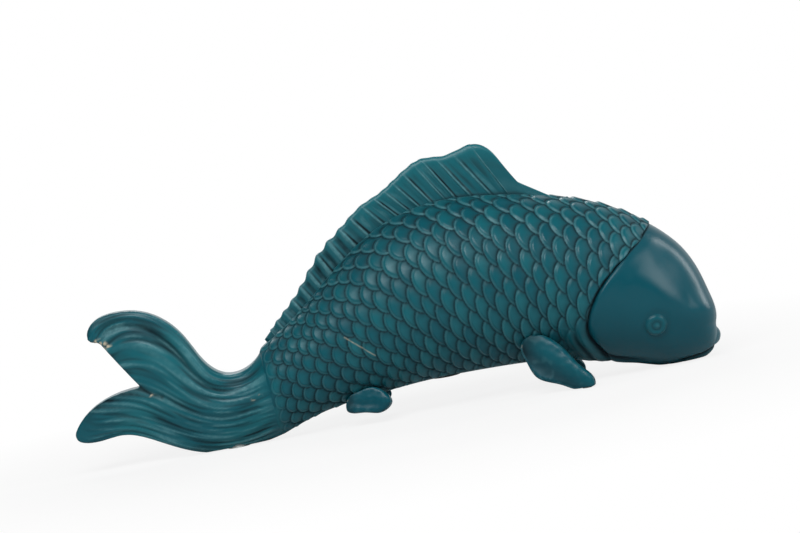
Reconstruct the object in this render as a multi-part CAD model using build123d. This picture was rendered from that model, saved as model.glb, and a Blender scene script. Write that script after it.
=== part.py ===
from build123d import *
from math import cos, pi, radians, sin, tan
import os

# A painted cast-resin carp that stands on its chin, its two breast fins and the bow of its tail.
# Head and trunk are hollow castings joined by a spigot, the tail is a solid casting on a spigot,
# the back fin sits on tenons, the paired fins are pinned, and the eyes are set into sockets.
# Millimetres. +X runs from the tail to the snout, +Z up, +Y to the fish's left, floor at z = 0.

# Overall sizes, which the shares in the tables below follow
LENGTH = 340.0
HEIGHT = 132.0
BODY_WIDTH = 73.0

# Casting: walls, glue lines and the overrun that lets a cut pass right through
WALL = 5.0
SPIGOT_WALL = 3.0
GLUE_GAP = 0.2
OVERRUN = 10.0

# Cross-sections of head and trunk from the tail joint to the lips:
# back (x, z) and belly (x, z) as shares of LENGTH and HEIGHT, width as a share of BODY_WIDTH
STATION_SHARES = (
    ((0.306, 0.370), (0.316, 0.017), 0.47),
    ((0.364, 0.464), (0.390, 0.076), 0.60),
    ((0.420, 0.578), (0.478, 0.104), 0.74),
    ((0.501, 0.727), (0.549, 0.117), 0.88),
    ((0.601, 0.802), (0.627, 0.118), 0.96),
    ((0.708, 0.780), (0.704, 0.111), 1.00),
    ((0.797, 0.727), (0.758, 0.093), 1.00),
    ((0.870, 0.651), (0.810, 0.063), 0.98),
    ((0.925, 0.555), (0.862, 0.029), 0.92),
    ((0.964, 0.452), (0.907, -0.003), 0.80),
    ((0.987, 0.327), (0.945, -0.006), 0.62),
    ((0.994, 0.214), (0.969, 0.006), 0.43),
    ((0.991, 0.112), (0.982, 0.023), 0.25),
)
WIDEST_LEVEL_SHARE = 0.46
CAVITY_STATIONS = 11

# Scales: rows of plates round the trunk, each row a band that stands out at its free edge.
# The back and the belly stay bare, but for a low step
SCALE_PITCH = 7.0
SCALE_WIDTH = 12.0
SCALE_RISE = 1.2
SCALE_STEP = 0.3
SCALE_SINK = 0.3
SCALE_BARE_SHARE = 0.34
SCALE_FULL_SHARE = 0.60
SCALE_LAST_STATION = 8.8

# Head: the edge of the gill cover seen from the side, then lips, groove and spigot
HEAD_EDGE_SHARES = (
    (0.950, 0.700),
    (0.918, 0.555),
    (0.854, 0.433),
    (0.811, 0.320),
    (0.796, 0.220),
    (0.802, 0.156),
    (0.820, 0.080),
    (0.850, -0.050),
)
HEAD_GROOVE = 0.8
HEAD_SPIGOT_LENGTH = 10.0
LIP_RADIUS = 3.2
LIP_LEVEL_SHARE = 0.084
LIP_HALF_WIDTH = 9.0
LIP_SETBACK = 10.0
LIP_DROP = 2.0
MOUTH_SLIT_HEIGHT = 1.2
MOUTH_SHARES = ((1.010, 0.062), (0.975, 0.038), (0.950, 0.030))

# Eyes: a domed cabochon on a stem, let into the side of the head
EYE_PLACE_SHARE = (0.900, 0.182)
EYE_DIAMETER = 11.0
EYE_DOME_HEIGHT = 2.0
EYE_SEAT_DEPTH = 1.2
EYE_STEM_DIAMETER = 4.0
EYE_STEM_LENGTH = 5.0

# Tail: side outline (upper edge, fork, lower edge) and the sections that set its thickness
TAIL_UPPER_SHARES = (
    (0.306, 0.370),
    (0.275, 0.301),
    (0.245, 0.295),
    (0.220, 0.341),
    (0.192, 0.471),
    (0.145, 0.587),
    (0.091, 0.615),
    (0.054, 0.580),
    (0.047, 0.545),
    (0.064, 0.508),
)
TAIL_FORK_SHARES = ((0.064, 0.508), (0.093, 0.388), (0.114, 0.306))
TAIL_LOBE_SHARES = ((0.114, 0.306), (0.067, 0.293), (0.026, 0.245), (0.001, 0.175))
TAIL_LOWER_SHARES = (
    (0.001, 0.175),
    (0.003, 0.142),
    (0.018, 0.126),
    (0.074, 0.132),
    (0.126, 0.079),
    (0.183, 0.010),
    (0.243, -0.011),
    (0.288, -0.001),
    (0.316, 0.017),
)
TAIL_STATION_SHARES = (
    ((0.262, 0.305), (0.268, -0.008), 0.36),
    ((0.215, 0.400), (0.195, -0.020), 0.28),
    ((0.165, 0.620), (0.120, 0.020), 0.22),
    ((0.105, 0.700), (0.060, 0.060), 0.17),
    ((0.000, 0.760), (-0.040, 0.040), 0.11),
)
TAIL_SPIGOT_LENGTH = 16.0

# Back fin: outer edge, the stretch of the back that it stands on, tenons and rays
DORSAL_EDGE_SHARES = (
    (0.782, 0.728),
    (0.755, 0.776),
    (0.731, 0.828),
    (0.718, 0.900),
    (0.690, 0.985),
    (0.661, 0.980),
    (0.623, 0.972),
    (0.585, 0.964),
    (0.546, 0.896),
    (0.501, 0.846),
    (0.458, 0.764),
    (0.418, 0.684),
    (0.376, 0.552),
    (0.342, 0.465),
    (0.318, 0.405),
)
DORSAL_THICKNESS = 6.0
DORSAL_EDGE_FILLET = 1.8
DORSAL_ROOT_DEPTH = 9.0
TENON_LENGTH = 22.0
TENON_THICKNESS = 3.0
TENON_PLACE_SHARES = (0.14, 0.30, 0.45)
RAY_COUNT = 20
RAY_GROOVE = 1.6
RAY_FIRST_SHARE = 0.05
RAY_LAST_SHARE = 0.54
RAY_LEAN_REAR = 98.0
RAY_LEAN_FRONT = 132.0
RAY_FOOT = 3.0

# Breast fins: leaf outline seen from the side, root, flare out from the flank and pin
PECTORAL_SHARES = (
    (0.697, 0.212),
    (0.713, 0.240),
    (0.735, 0.216),
    (0.757, 0.156),
    (0.777, 0.082),
    (0.792, 0.024),
    (0.788, -0.008),
    (0.770, -0.010),
    (0.738, 0.030),
    (0.709, 0.066),
    (0.697, 0.138),
)
PECTORAL_ROOT_SHARE = (0.712, 0.200)
PECTORAL_FLARE = 11.0
PECTORAL_SPREAD = 11.0
PECTORAL_THICKNESS = 8.0

# Belly fins: smaller leaves of the same build
PELVIC_SHARES = (
    (0.417, 0.074),
    (0.421, 0.108),
    (0.437, 0.139),
    (0.458, 0.147),
    (0.478, 0.120),
    (0.486, 0.078),
    (0.468, 0.043),
    (0.440, 0.052),
)
PELVIC_ROOT_SHARE = (0.438, 0.122)
PELVIC_FLARE = 12.0
PELVIC_SPREAD = 14.0
PELVIC_THICKNESS = 6.5

# Seats and pins of all four paired fins
FIN_STANDOFF = 2.0
FIN_EDGE_FILLET_SHARE = 0.22
FIN_PIN_DIAMETER = 2.5
FIN_PIN_DEPTH = 10.0
FIN_PIN_REACH_SHARE = 0.25
FIN_BOSS_DIAMETER = 8.0
FIN_BOSS_DEPTH = 12.0

# Vent plug in the belly and the anti-slip dots under chin, tail and breast fins
VENT_PLACE_SHARE = 0.575
VENT_DIAMETER = 12.0
VENT_HEAD_DIAMETER = 15.0
VENT_HEAD_HEIGHT = 1.6
VENT_SHANK_LENGTH = 8.0
DOT_THICKNESS = 1.6
DOT_PROUD = 0.4
CHIN_DOT_DIAMETER = 12.0
CHIN_DOT_PLACE_SHARE = 0.926
TAIL_DOT_DIAMETER = 12.0
TAIL_DOT_PLACE_SHARE = 0.243
FIN_DOT_DIAMETER = 5.0
FIN_DOT_PLACE_SHARE = 0.779


def side_point(share, y=0.0):
    """A point given by its shares of length and height, on the middle plane or y to the left of it."""
    return Vector((share[0] - 0.5) * LENGTH, y, share[1] * HEIGHT)


def section(back, belly, width, inset=0.0):
    """One closed cross-section between a back point and a belly point, taken in by inset all round."""
    up = (back - belly).normalized()
    rise = (back - belly).length
    level = belly + up * (rise * WIDEST_LEVEL_SHARE)
    plane = Plane(origin=level, x_dir=(0, 1, 0), z_dir=Vector(0, 1, 0).cross(up))
    half_width = width / 2 - inset
    upper = rise * (1 - WIDEST_LEVEL_SHARE) - inset
    lower = rise * WIDEST_LEVEL_SHARE - inset
    top = EllipticalCenterArc((0, 0), half_width, upper, start_angle=0, arc_size=180)
    bottom = EllipticalCenterArc((0, 0), half_width, lower, start_angle=180, arc_size=180)
    return plane * make_face([top, bottom])


def body(inset=0.0, stations=STATION_SHARES):
    """Head and trunk as one smooth solid, taken in by inset."""
    faces = [
        section(side_point(back), side_point(belly), width * BODY_WIDTH, inset)
        for back, belly, width in stations
    ]
    return loft(faces)


def even_line(points):
    """A smooth line whose measure, 0 to 1, grows by the same step from each point to the next."""
    steps = len(points) - 1
    return Edge.make_spline(points, parameters=[i / steps for i in range(len(points))])


def on_line(line, place):
    """The point of an even line at a place in its own measure."""
    return Vector(line.geom_adaptor().Value(place))


def ring_point(place, turn, rise):
    """A point of the trunk, out by rise: turn is 0 on the back, 90 on the left and 180 on the belly."""
    back, belly = on_line(ridge, place), on_line(keel, place)
    up = (back - belly).normalized()
    height = (back - belly).length
    lift, out = cos(radians(turn)), sin(radians(turn))
    reach = height * (1 - WIDEST_LEVEL_SHARE if lift > 0 else WIDEST_LEVEL_SHARE)
    level = belly + up * (height * WIDEST_LEVEL_SHARE)
    half_width = on_line(breadth, place).Y
    return level + up * ((reach + rise) * lift) + Vector(0, (half_width + rise) * out, 0)


def flank_share(turn):
    """1 where the flanks carry full scales, 0 on the bare back and belly."""
    side = abs(sin(radians(turn)))
    return min(1, max(0, (side - SCALE_BARE_SHARE) / (SCALE_FULL_SHARE - SCALE_BARE_SHARE)))


def scale_ring(place, count, shift, low, high):
    """A row of scales seen from the end: arcs that rise from low at their ends to high in the middle."""
    def at(turn, rise):
        return ring_point(place, turn, rise * flank_share(turn) + low - SCALE_SINK)

    step = 360 / count
    turns = [(i + shift) * step for i in range(count)]
    return make_face([
        ThreePointArc(at(turn, 0.0), at(turn + step / 2, high - low), at(turn + step, 0.0))
        for turn in turns
    ])


def scaled_trunk():
    """The trunk as a stack of scale rows from the tail joint to under the head."""
    line = even_line([(side_point(back) + side_point(belly)) / 2 for back, belly, _ in STATION_SHARES])
    last = SCALE_LAST_STATION / (len(STATION_SHARES) - 1)
    places = [line.param_at(row * SCALE_PITCH / line.length) for row in range(int(line.length / SCALE_PITCH))]
    places = [place for place in places if place < last]
    rows = []
    for row, (rear, front) in enumerate(zip(places, places[1:])):
        height = (on_line(ridge, rear) - on_line(keel, rear)).length
        girth = pi * (on_line(breadth, rear).Y + height / 2)
        count = 2 * round(girth / SCALE_WIDTH / 2)
        shift = row % 2 / 2
        free_edge = scale_ring(rear, count, shift, 0.0, SCALE_RISE)
        hidden_edge = scale_ring(front, count, shift, -SCALE_STEP, 0.0)
        rows.append(loft([free_edge, hidden_edge], ruled=True))
    return rows[0] + rows[1:]


def cavity(inset):
    """The hollow inside head and trunk: the same form, taken in, and ending short of the snout."""
    return body(inset, STATION_SHARES[:CAVITY_STATIONS])


def prism(edges, half_width):
    """A side view drawn on the middle plane, made half_width thick to each side."""
    return extrude(Pos(0, -half_width, 0) * make_face(edges), 2 * half_width, dir=(0, 1, 0))


def head_region(shift=0.0):
    """All the space in front of the gill edge, moved towards the tail by shift."""
    edge = [side_point(share) for share in HEAD_EDGE_SHARES]
    front = LENGTH / 2 + OVERRUN
    curve = Spline(*edge)
    upper = Vector(front, 0, edge[0].Z)
    lower = Vector(front, 0, edge[-1].Z)
    outline = [curve, Line(edge[-1], lower), Line(lower, upper), Line(upper, edge[0])]
    return Pos(-shift, 0, 0) * prism(outline, BODY_WIDTH)


def back_line():
    """The ridge of the back, from the tail joint to the lips."""
    return Spline(*[side_point(back) for back, _, _ in STATION_SHARES])


def back_frame(share):
    """A plane on the ridge: x along the back towards the head, z out of the back."""
    line = back_line()
    along = (line % share).normalized()
    return Plane(origin=line @ share, x_dir=along, z_dir=Vector(-along.Z, 0, along.X))


def flank(solid, share):
    """The point and outward direction of a solid's right side at a place given from the side."""
    through = Axis(side_point(share), (0, -1, 0))
    return max(solid.find_intersection_points(through), key=lambda hit: -hit[0].Y)


def tenon(share, clearance=0.0):
    """One tongue of the back fin, or with a clearance the slot that takes it."""
    depth = WALL + 2 * OVERRUN
    block = Box(TENON_LENGTH + 2 * clearance, TENON_THICKNESS + 2 * clearance, depth)
    return back_frame(share) * block


def floor_space(level):
    """Everything below a level over the whole part."""
    size = 2 * LENGTH
    return Pos(0, 0, level - size / 2) * Box(size, size, size)


def dot(x, y, diameter, clearance=0.0):
    """An anti-slip dot on the floor, or with a clearance its recess."""
    centre = Pos(x, y, (DOT_THICKNESS + clearance) / 2)
    return centre * Cylinder(diameter / 2 + clearance, DOT_THICKNESS + clearance)


def fin_level(root, flare, spread, share):
    """How far out the middle of a right paired fin lies at a place given from the side."""
    place = side_point(share)
    forward = (place.X - root.X) * tan(radians(spread))
    return root.Y - forward + (place.Z - root.Z) * tan(radians(flare))


def slab(face, thickness):
    """A flat face given thickness, half to each side."""
    return extrude(Pos(*(face.face().normal_at() * (-thickness / 2))) * face, thickness)


def along_y(seat, diameter, depth, reach):
    """A round bar across the right flank at seat: depth into the body and reach out of it."""
    plane = Plane(origin=(seat.X, seat.Y + depth, seat.Z), x_dir=(1, 0, 0), z_dir=(0, -1, 0))
    return plane * Cylinder(diameter / 2, depth + reach, align=(Align.CENTER, Align.CENTER, Align.MIN))


def paired_fin(seat, shares, flare, spread, thickness):
    """A right-hand leaf fin, trimmed to sit on the flank and flat where it meets the floor."""
    root = seat + Vector(0, -FIN_STANDOFF, 0)
    points = [side_point(share, fin_level(root, flare, spread, share)) for share in shares]
    leaf = slab(make_face([Spline(*points, periodic=True)]), thickness)
    rims = leaf.edges().filter_by(lambda edge: edge.length > 2 * thickness)
    leaf = fillet(rims, thickness * FIN_EDGE_FILLET_SHARE)
    return leaf - body(-SCALE_RISE) - floor_space(DOT_PROUD)


def fin_pin(seat, thickness, clearance=0.0):
    """The pin of a right-hand fin, or with a clearance the hole for it."""
    reach = FIN_STANDOFF + thickness * FIN_PIN_REACH_SHARE
    return along_y(seat, FIN_PIN_DIAMETER + 2 * clearance, FIN_PIN_DEPTH + clearance, reach + clearance)


def tenon_space():
    """Where a tenon may lie: from the inside of the wall to well inside the fin's foot."""
    return body(-OVERRUN / 2) - body(WALL)


def make_dorsal_fin():
    """The pleated back fin: a plate with ray grooves on both faces and tenons under it."""
    edge = [side_point(share) for share in DORSAL_EDGE_SHARES]
    sink = Vector(0, 0, -DORSAL_ROOT_DEPTH)
    front, rear = edge[0] + sink, edge[-1] + sink
    line = back_line()
    under = Spline(front, *[line @ share + sink for share in TENON_PLACE_SHARES[::-1]], rear)
    outline = [Spline(*edge), Line(edge[-1], rear), under, Line(front, edge[0])]
    plate = prism(outline, DORSAL_THICKNESS / 2)
    rims = plate.edges().filter_by(lambda e: e.length > LENGTH / 4).sort_by(lambda e: e.center().Z)
    plate = fillet(rims[-2:], DORSAL_EDGE_FILLET)
    grooves = []
    for ray in range(RAY_COUNT):
        place = ray / (RAY_COUNT - 1)
        share = RAY_FIRST_SHARE + place * (RAY_LAST_SHARE - RAY_FIRST_SHARE)
        lean = RAY_LEAN_REAR + place * (RAY_LEAN_FRONT - RAY_LEAN_REAR)
        upright = back_frame(share) * Rot(0, 90 - lean, 0) * Pos(0, 0, HEIGHT / 2 + RAY_FOOT)
        bar = Rot(0, 0, 45) * Box(RAY_GROOVE, RAY_GROOVE, HEIGHT)
        for face in (-1, 1):
            grooves.append(upright * Pos(0, face * DORSAL_THICKNESS / 2, 0) * bar)
    fin = plate - grooves - body(-GLUE_GAP)
    space = tenon_space()
    return fin + [tenon(share) & space for share in TENON_PLACE_SHARES]


def joint_plane():
    """The plane of the joint between trunk and tail, facing the head."""
    back, belly, _ = STATION_SHARES[0]
    up = (side_point(back) - side_point(belly)).normalized()
    return Plane(origin=side_point(belly), x_dir=(0, 1, 0), z_dir=Vector(0, 1, 0).cross(up))


def make_tail():
    """The solid tail: a flat fork whose thickness follows its own sections, with a spigot."""
    upper = Spline(*[side_point(share) for share in TAIL_UPPER_SHARES])
    fork = Spline(*[side_point(share) for share in TAIL_FORK_SHARES])
    lobe = Spline(*[side_point(share) for share in TAIL_LOBE_SHARES])
    lower = Spline(*[side_point(share) for share in TAIL_LOWER_SHARES])
    plate = prism([upper, fork, lobe, lower, Line(lower @ 1, upper @ 0)], BODY_WIDTH)
    fork_form = plate & body(0.0, TAIL_STATION_SHARES[::-1] + STATION_SHARES[:1])
    align = (Align.CENTER, Align.CENTER, Align.MIN)
    reach = joint_plane() * Box(2 * BODY_WIDTH, 2 * HEIGHT, TAIL_SPIGOT_LENGTH, align=align)
    return fork_form + (cavity(WALL + GLUE_GAP) & reach) - floor_space(DOT_PROUD)


def make_lip():
    """The upper lip: a round bead bowed about the front of the snout."""
    front = LENGTH / 2 - LIP_RADIUS
    level = LIP_LEVEL_SHARE * HEIGHT
    right = Vector(front - LIP_SETBACK, -LIP_HALF_WIDTH, level - LIP_DROP)
    left = Vector(front - LIP_SETBACK, LIP_HALF_WIDTH, level - LIP_DROP)
    bow = ThreePointArc(right, (front, 0, level), left)
    bead = sweep(Plane(origin=bow @ 0, z_dir=bow % 0) * Circle(LIP_RADIUS), path=bow)
    return bead + [Pos(*end) * Sphere(LIP_RADIUS) for end in (right, left)]


def make_mouth():
    """The slit between the lips, as the space to cut away."""
    middle = Spline(*[side_point(share) for share in MOUTH_SHARES])
    top = Pos(0, 0, MOUTH_SLIT_HEIGHT / 2) * middle
    bottom = Pos(0, 0, -MOUTH_SLIT_HEIGHT / 2) * middle
    return prism([top, Line(top @ 1, bottom @ 1), bottom, Line(bottom @ 0, top @ 0)], BODY_WIDTH)


def make_head(outer):
    """The hollow head with its lips, mouth slit and the spigot that goes into the trunk."""
    thick = WALL + GLUE_GAP + SPIGOT_WALL
    hollow = cavity(thick)
    spigot = (cavity(WALL + GLUE_GAP) - hollow) & head_region(HEAD_SPIGOT_LENGTH)
    front = (outer & head_region()) + make_lip() - make_mouth()
    return front - hollow + spigot - floor_space(DOT_PROUD)


def eye_frame(outer):
    """The place of the right eye: on the skin of the head, looking out of it."""
    place, outward = flank(outer, EYE_PLACE_SHARE)
    return Plane(origin=place, z_dir=outward)


def make_eye(frame):
    """The right eye: a low dome on a seated disc, with a stem behind it."""
    radius = EYE_DIAMETER / 2
    stem = EYE_STEM_DIAMETER / 2
    ball = (radius**2 + EYE_DOME_HEIGHT**2) / (2 * EYE_DOME_HEIGHT)
    half = EYE_DOME_HEIGHT / 2
    shoulder = (ball**2 - (ball - half) ** 2) ** 0.5
    dome = ThreePointArc((radius, 0, 0), (shoulder, 0, half), (0, 0, EYE_DOME_HEIGHT))
    back = -EYE_SEAT_DEPTH
    tip = back - EYE_STEM_LENGTH
    sides = Polyline((0, 0, EYE_DOME_HEIGHT), (0, 0, tip), (stem, 0, tip), (stem, 0, back),
                     (radius, 0, back), (radius, 0, 0))
    return frame * revolve(make_face([dome, sides]), axis=Axis.Z)


def eye_socket(frame):
    """The stepped hole that takes the right eye."""
    top = (Align.CENTER, Align.CENTER, Align.MAX)
    disc = Cylinder(EYE_DIAMETER / 2 + GLUE_GAP, EYE_SEAT_DEPTH + GLUE_GAP + OVERRUN, align=top)
    bore_depth = EYE_SEAT_DEPTH + EYE_STEM_LENGTH + 2 * GLUE_GAP
    bore = Cylinder(EYE_STEM_DIAMETER / 2 + GLUE_GAP, bore_depth, align=top)
    return frame * (Pos(0, 0, OVERRUN) * disc + bore)


def belly_point(outer):
    """The lowest point of the belly where the vent is."""
    down = Axis((side_point((VENT_PLACE_SHARE, 0)).X, 0, HEIGHT / 2), (0, 0, -1))
    return min((hit[0] for hit in outer.find_intersection_points(down)), key=lambda point: point.Z)


def vent(seat, clearance=0.0, foot=0.0):
    """The plug in the belly, or with a clearance and a foot below it the stepped hole for it."""
    base = (Align.CENTER, Align.CENTER, Align.MIN)
    cap = Cylinder(VENT_HEAD_DIAMETER / 2 + clearance, VENT_HEAD_HEIGHT + foot + clearance, align=base)
    shank = Cylinder(VENT_DIAMETER / 2 + clearance, VENT_HEAD_HEIGHT + VENT_SHANK_LENGTH, align=base)
    return Pos(*seat) * (Pos(0, 0, -foot) * cap + shank)


def fin_dot(seat, clearance=0.0):
    """The anti-slip dot under the right breast fin, or its recess."""
    root = seat + Vector(0, -FIN_STANDOFF, 0)
    share = (FIN_DOT_PLACE_SHARE, 0.0)
    level = fin_level(root, PECTORAL_FLARE, PECTORAL_SPREAD, share)
    return dot(side_point(share).X, level, FIN_DOT_DIAMETER, clearance)


def middle_dot(place_share, diameter, clearance=0.0):
    """An anti-slip dot on the middle plane, or its recess."""
    return dot(side_point((place_share, 0)).X, 0.0, diameter, clearance)


def mirrored(shape):
    """The left-hand partner of a right-hand shape."""
    return mirror(shape, about=Plane.XZ)


ridge = even_line([side_point(back) for back, _, _ in STATION_SHARES])
keel = even_line([side_point(belly) for _, belly, _ in STATION_SHARES])
breadth = even_line([Vector(i, width * BODY_WIDTH / 2) for i, (_, _, width) in enumerate(STATION_SHARES)])
outer = body()
pectoral_seat = flank(outer, PECTORAL_ROOT_SHARE)[0]
pelvic_seat = flank(outer, PELVIC_ROOT_SHARE)[0]
fins = ((pectoral_seat, PECTORAL_THICKNESS), (pelvic_seat, PELVIC_THICKNESS))
eye_place = eye_frame(outer)
belly = belly_point(outer)

# Right-hand fins, pins and eye first; the left-hand ones are their mirror images
right = {
    "pectoral_fin": paired_fin(pectoral_seat, PECTORAL_SHARES, PECTORAL_FLARE, PECTORAL_SPREAD,
                               PECTORAL_THICKNESS)
    - fin_pin(*fins[0], GLUE_GAP) - fin_dot(pectoral_seat, GLUE_GAP),
    "pelvic_fin": paired_fin(pelvic_seat, PELVIC_SHARES, PELVIC_FLARE, PELVIC_SPREAD, PELVIC_THICKNESS)
    - fin_pin(*fins[1], GLUE_GAP),
    "pectoral_pin": fin_pin(*fins[0]),
    "pelvic_pin": fin_pin(*fins[1]),
    "eye": make_eye(eye_place),
    "fin_dot": fin_dot(pectoral_seat),
}

# Trunk: an open shell with bosses for the pins, slots for the tenons and the vent hole
skin = body(WALL / 2)
trunk = scaled_trunk() - head_region(HEAD_GROOVE) - cavity(WALL)
for seat, thickness in fins:
    boss = along_y(seat, FIN_BOSS_DIAMETER, FIN_BOSS_DEPTH, 0.0) & skin
    hole = fin_pin(seat, thickness, GLUE_GAP)
    trunk = trunk + [boss, mirrored(boss)] - [hole, mirrored(hole)]
trunk = trunk - [tenon(share, GLUE_GAP) for share in TENON_PLACE_SHARES]
trunk = trunk - vent(belly, GLUE_GAP, OVERRUN)

socket = eye_socket(eye_place)
head = make_head(outer) - [socket, mirrored(socket)]
head = head - middle_dot(CHIN_DOT_PLACE_SHARE, CHIN_DOT_DIAMETER, GLUE_GAP)
tail = make_tail() - middle_dot(TAIL_DOT_PLACE_SHARE, TAIL_DOT_DIAMETER, GLUE_GAP)

nodes = {
    "head_shell": head,
    "trunk_shell": trunk,
    "tail_casting": tail,
    "dorsal_fin": make_dorsal_fin(),
    "vent_plug": vent(belly),
    "chin_dot": middle_dot(CHIN_DOT_PLACE_SHARE, CHIN_DOT_DIAMETER),
    "tail_dot": middle_dot(TAIL_DOT_PLACE_SHARE, TAIL_DOT_DIAMETER),
}
for name, shape in right.items():
    nodes[f"{name}_right"] = shape
    nodes[f"{name}_left"] = mirrored(shape)

os.makedirs("parts", exist_ok=True)
for name, shape in nodes.items():
    export_step(shape, f"parts/{name}.step")
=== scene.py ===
import bmesh
import bpy
import math
import numpy as np
from mathutils import Matrix, Vector, noise
from mathutils.bvhtree import BVHTree


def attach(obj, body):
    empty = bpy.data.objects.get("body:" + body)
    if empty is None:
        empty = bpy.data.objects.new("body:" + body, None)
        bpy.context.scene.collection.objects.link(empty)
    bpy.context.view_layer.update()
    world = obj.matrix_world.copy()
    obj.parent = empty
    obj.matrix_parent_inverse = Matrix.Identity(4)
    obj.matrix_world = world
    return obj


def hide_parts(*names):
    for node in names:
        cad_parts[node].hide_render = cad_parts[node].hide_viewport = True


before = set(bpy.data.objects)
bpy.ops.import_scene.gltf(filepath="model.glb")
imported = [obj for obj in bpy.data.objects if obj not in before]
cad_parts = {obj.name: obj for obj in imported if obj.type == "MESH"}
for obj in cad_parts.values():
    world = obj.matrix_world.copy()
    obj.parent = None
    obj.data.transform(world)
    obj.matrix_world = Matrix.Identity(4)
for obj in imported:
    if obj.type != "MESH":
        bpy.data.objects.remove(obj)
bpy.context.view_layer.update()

# A painted cast-resin carp on a white sweep. Metres; +X from the tail to the snout, +Z up.
MM = 0.001
LENGTH = 340 * MM
HEIGHT = 132 * MM
BODY_WIDTH = 73 * MM
WIDEST_LEVEL = 0.46
FLOOR_GAP = 0.4 * MM

# Sections of head and trunk: back (x, z), belly (x, z), width, as shares of the three sizes above
STATIONS = np.array([
    (0.306, 0.370, 0.316, 0.017, 0.47),
    (0.364, 0.464, 0.390, 0.076, 0.60),
    (0.420, 0.578, 0.478, 0.104, 0.74),
    (0.501, 0.727, 0.549, 0.117, 0.88),
    (0.601, 0.802, 0.627, 0.118, 0.96),
    (0.708, 0.780, 0.704, 0.111, 1.00),
    (0.797, 0.727, 0.758, 0.093, 1.00),
    (0.870, 0.651, 0.810, 0.063, 0.98),
    (0.925, 0.555, 0.862, 0.029, 0.92),
    (0.964, 0.452, 0.907, -0.003, 0.80),
    (0.987, 0.327, 0.945, -0.006, 0.62),
    (0.994, 0.214, 0.969, 0.006, 0.43),
    (0.991, 0.112, 0.982, 0.023, 0.25),
])
LAST = len(STATIONS) - 1
GILL_EDGE = np.array([
    (0.950, 0.700), (0.918, 0.555), (0.854, 0.433), (0.811, 0.320),
    (0.796, 0.220), (0.802, 0.156), (0.820, 0.080), (0.850, -0.050),
])
EYE_PLACE = (0.900, 0.182)

# Scale coat
SCALE_PITCH = 5.3 * MM  # along the body
SCALE_ROW = 14.4 * MM  # round the widest part
SCALE_REACH = 5.6 * MM  # half length of one scale
SCALE_SPREAD_SHARE = 0.60  # its half width as a share of a row
SCALE_RISE = 1.6 * MM  # how far its free edge stands out
FACE_DOWN_FLANK = 0.10  # how much the free edges turn down on the flank
FACE_DOWN_BACK = 0.45  # and beside the back

# Joints of the skins, in stations and metres
TRUNK_REAR = -0.24  # where the trunk skin ends over the tail root
GILL_LAP = 0.09  # how far trunk and head skin pass each other at the gill
TRUNK_LAP_DEPTH = 2.6 * MM
HEAD_LAP_DEPTH = 2.4 * MM
REAR_SINK = 0.9 * MM

# Where forms start and end, as heights or as shares of the length
NAPE_LEVELS = (0.36 * HEIGHT, 0.50 * HEIGHT)
FLOOR_FADE = (0.03 * HEIGHT, 0.09 * HEIGHT)
FIN_FRONT = (0.775, 0.80)

# Points along and round the skins made from grids
TRUNK_GRID = (425, 228)
HEAD_GRID = (210, 260)
BACK_FIN_GRID = (700, 96)
# Castings that are copied and softened
TAIL_VOXEL = 0.6 * MM
SOFTENING = 8


def spline_through(values, at):
    """A smooth curve through evenly spaced values, read at the given places (0 to len - 1)."""
    values = np.asarray(values, float)
    count = len(values)
    system = np.eye(count)
    right = np.zeros_like(values)
    for i in range(1, count - 1):
        system[i, i - 1:i + 2] = 1, 4, 1
        right[i] = 6 * (values[i + 1] - 2 * values[i] + values[i - 1])
    bend = np.linalg.solve(system, right)
    low = np.clip(np.floor(at).astype(int), 0, count - 2)
    f = at - low
    g = 1 - f
    if values.ndim == 2:
        f, g = f[:, None], g[:, None]
    return (g * values[low] + f * values[low + 1]
            + (g**3 - g) * bend[low] / 6 + (f**3 - f) * bend[low + 1] / 6)


def ramp(low, high, x):
    """0 below low, 1 above high, and an S between."""
    t = np.clip((x - low) / (high - low), 0, 1)
    return t * t * (3 - 2 * t)


def bell(x, width):
    """1 at zero, falling off over width."""
    return np.exp(-(x / width) ** 2)


def side_points(shares):
    """(x, z) in metres from shares of length and height."""
    shares = np.asarray(shares, float)
    return np.stack([(shares[:, 0] - 0.5) * LENGTH, shares[:, 1] * HEIGHT], 1)


def length_share(x):
    """Share of the length at x, 0 at the tail and 1 at the snout."""
    return x / LENGTH + 0.5


def line_gap(x, z, shares, steps=90):
    """Distance in the side view from points to a smooth line."""
    line = spline_through(side_points(shares), np.linspace(0, len(shares) - 1, steps))
    return np.min(np.hypot(x[:, None] - line[:, 0], z[:, None] - line[:, 1]), axis=1)


def soft_gap(x, z, shares, steps=90):
    """As line_gap, but rounded off where the nearest point of the line jumps."""
    power = -4.0
    line = spline_through(side_points(shares), np.linspace(0, len(shares) - 1, steps))
    gaps = np.hypot(x[:, None] - line[:, 0], z[:, None] - line[:, 1]) + 0.3 * MM
    return np.mean(gaps ** power, axis=1) ** (1 / power)


def smooth_noise(points, size, seed=0.0):
    """Soft noise, about -1 to 1, with bumps of the given size in metres."""
    offset = Vector((seed, seed * 1.7, -seed))
    return np.array([noise.noise(Vector(p) / size + offset) for p in points])


def body_sections(s):
    """Back point, belly point and half width of the body at station s."""
    row = spline_through(STATIONS, s)
    return side_points(row[:, 0:2]), side_points(row[:, 2:4]), row[:, 4] * BODY_WIDTH / 2


def body_surface(s, turn):
    """Points of the plain body: station s, turn 0 at the back, pi at the belly, left side positive."""
    back, belly, half = body_sections(s)
    rise = np.linalg.norm(back - belly, axis=1)
    up = (back - belly) / rise[:, None]
    level = belly + up * (rise * WIDEST_LEVEL)[:, None]
    lift = np.cos(turn)
    reach = np.where(lift > 0, rise * (1 - WIDEST_LEVEL), rise * WIDEST_LEVEL) * lift
    side = level + up * reach[:, None]
    return np.stack([side[:, 0], half * np.sin(turn), side[:, 1]], 1)


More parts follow.
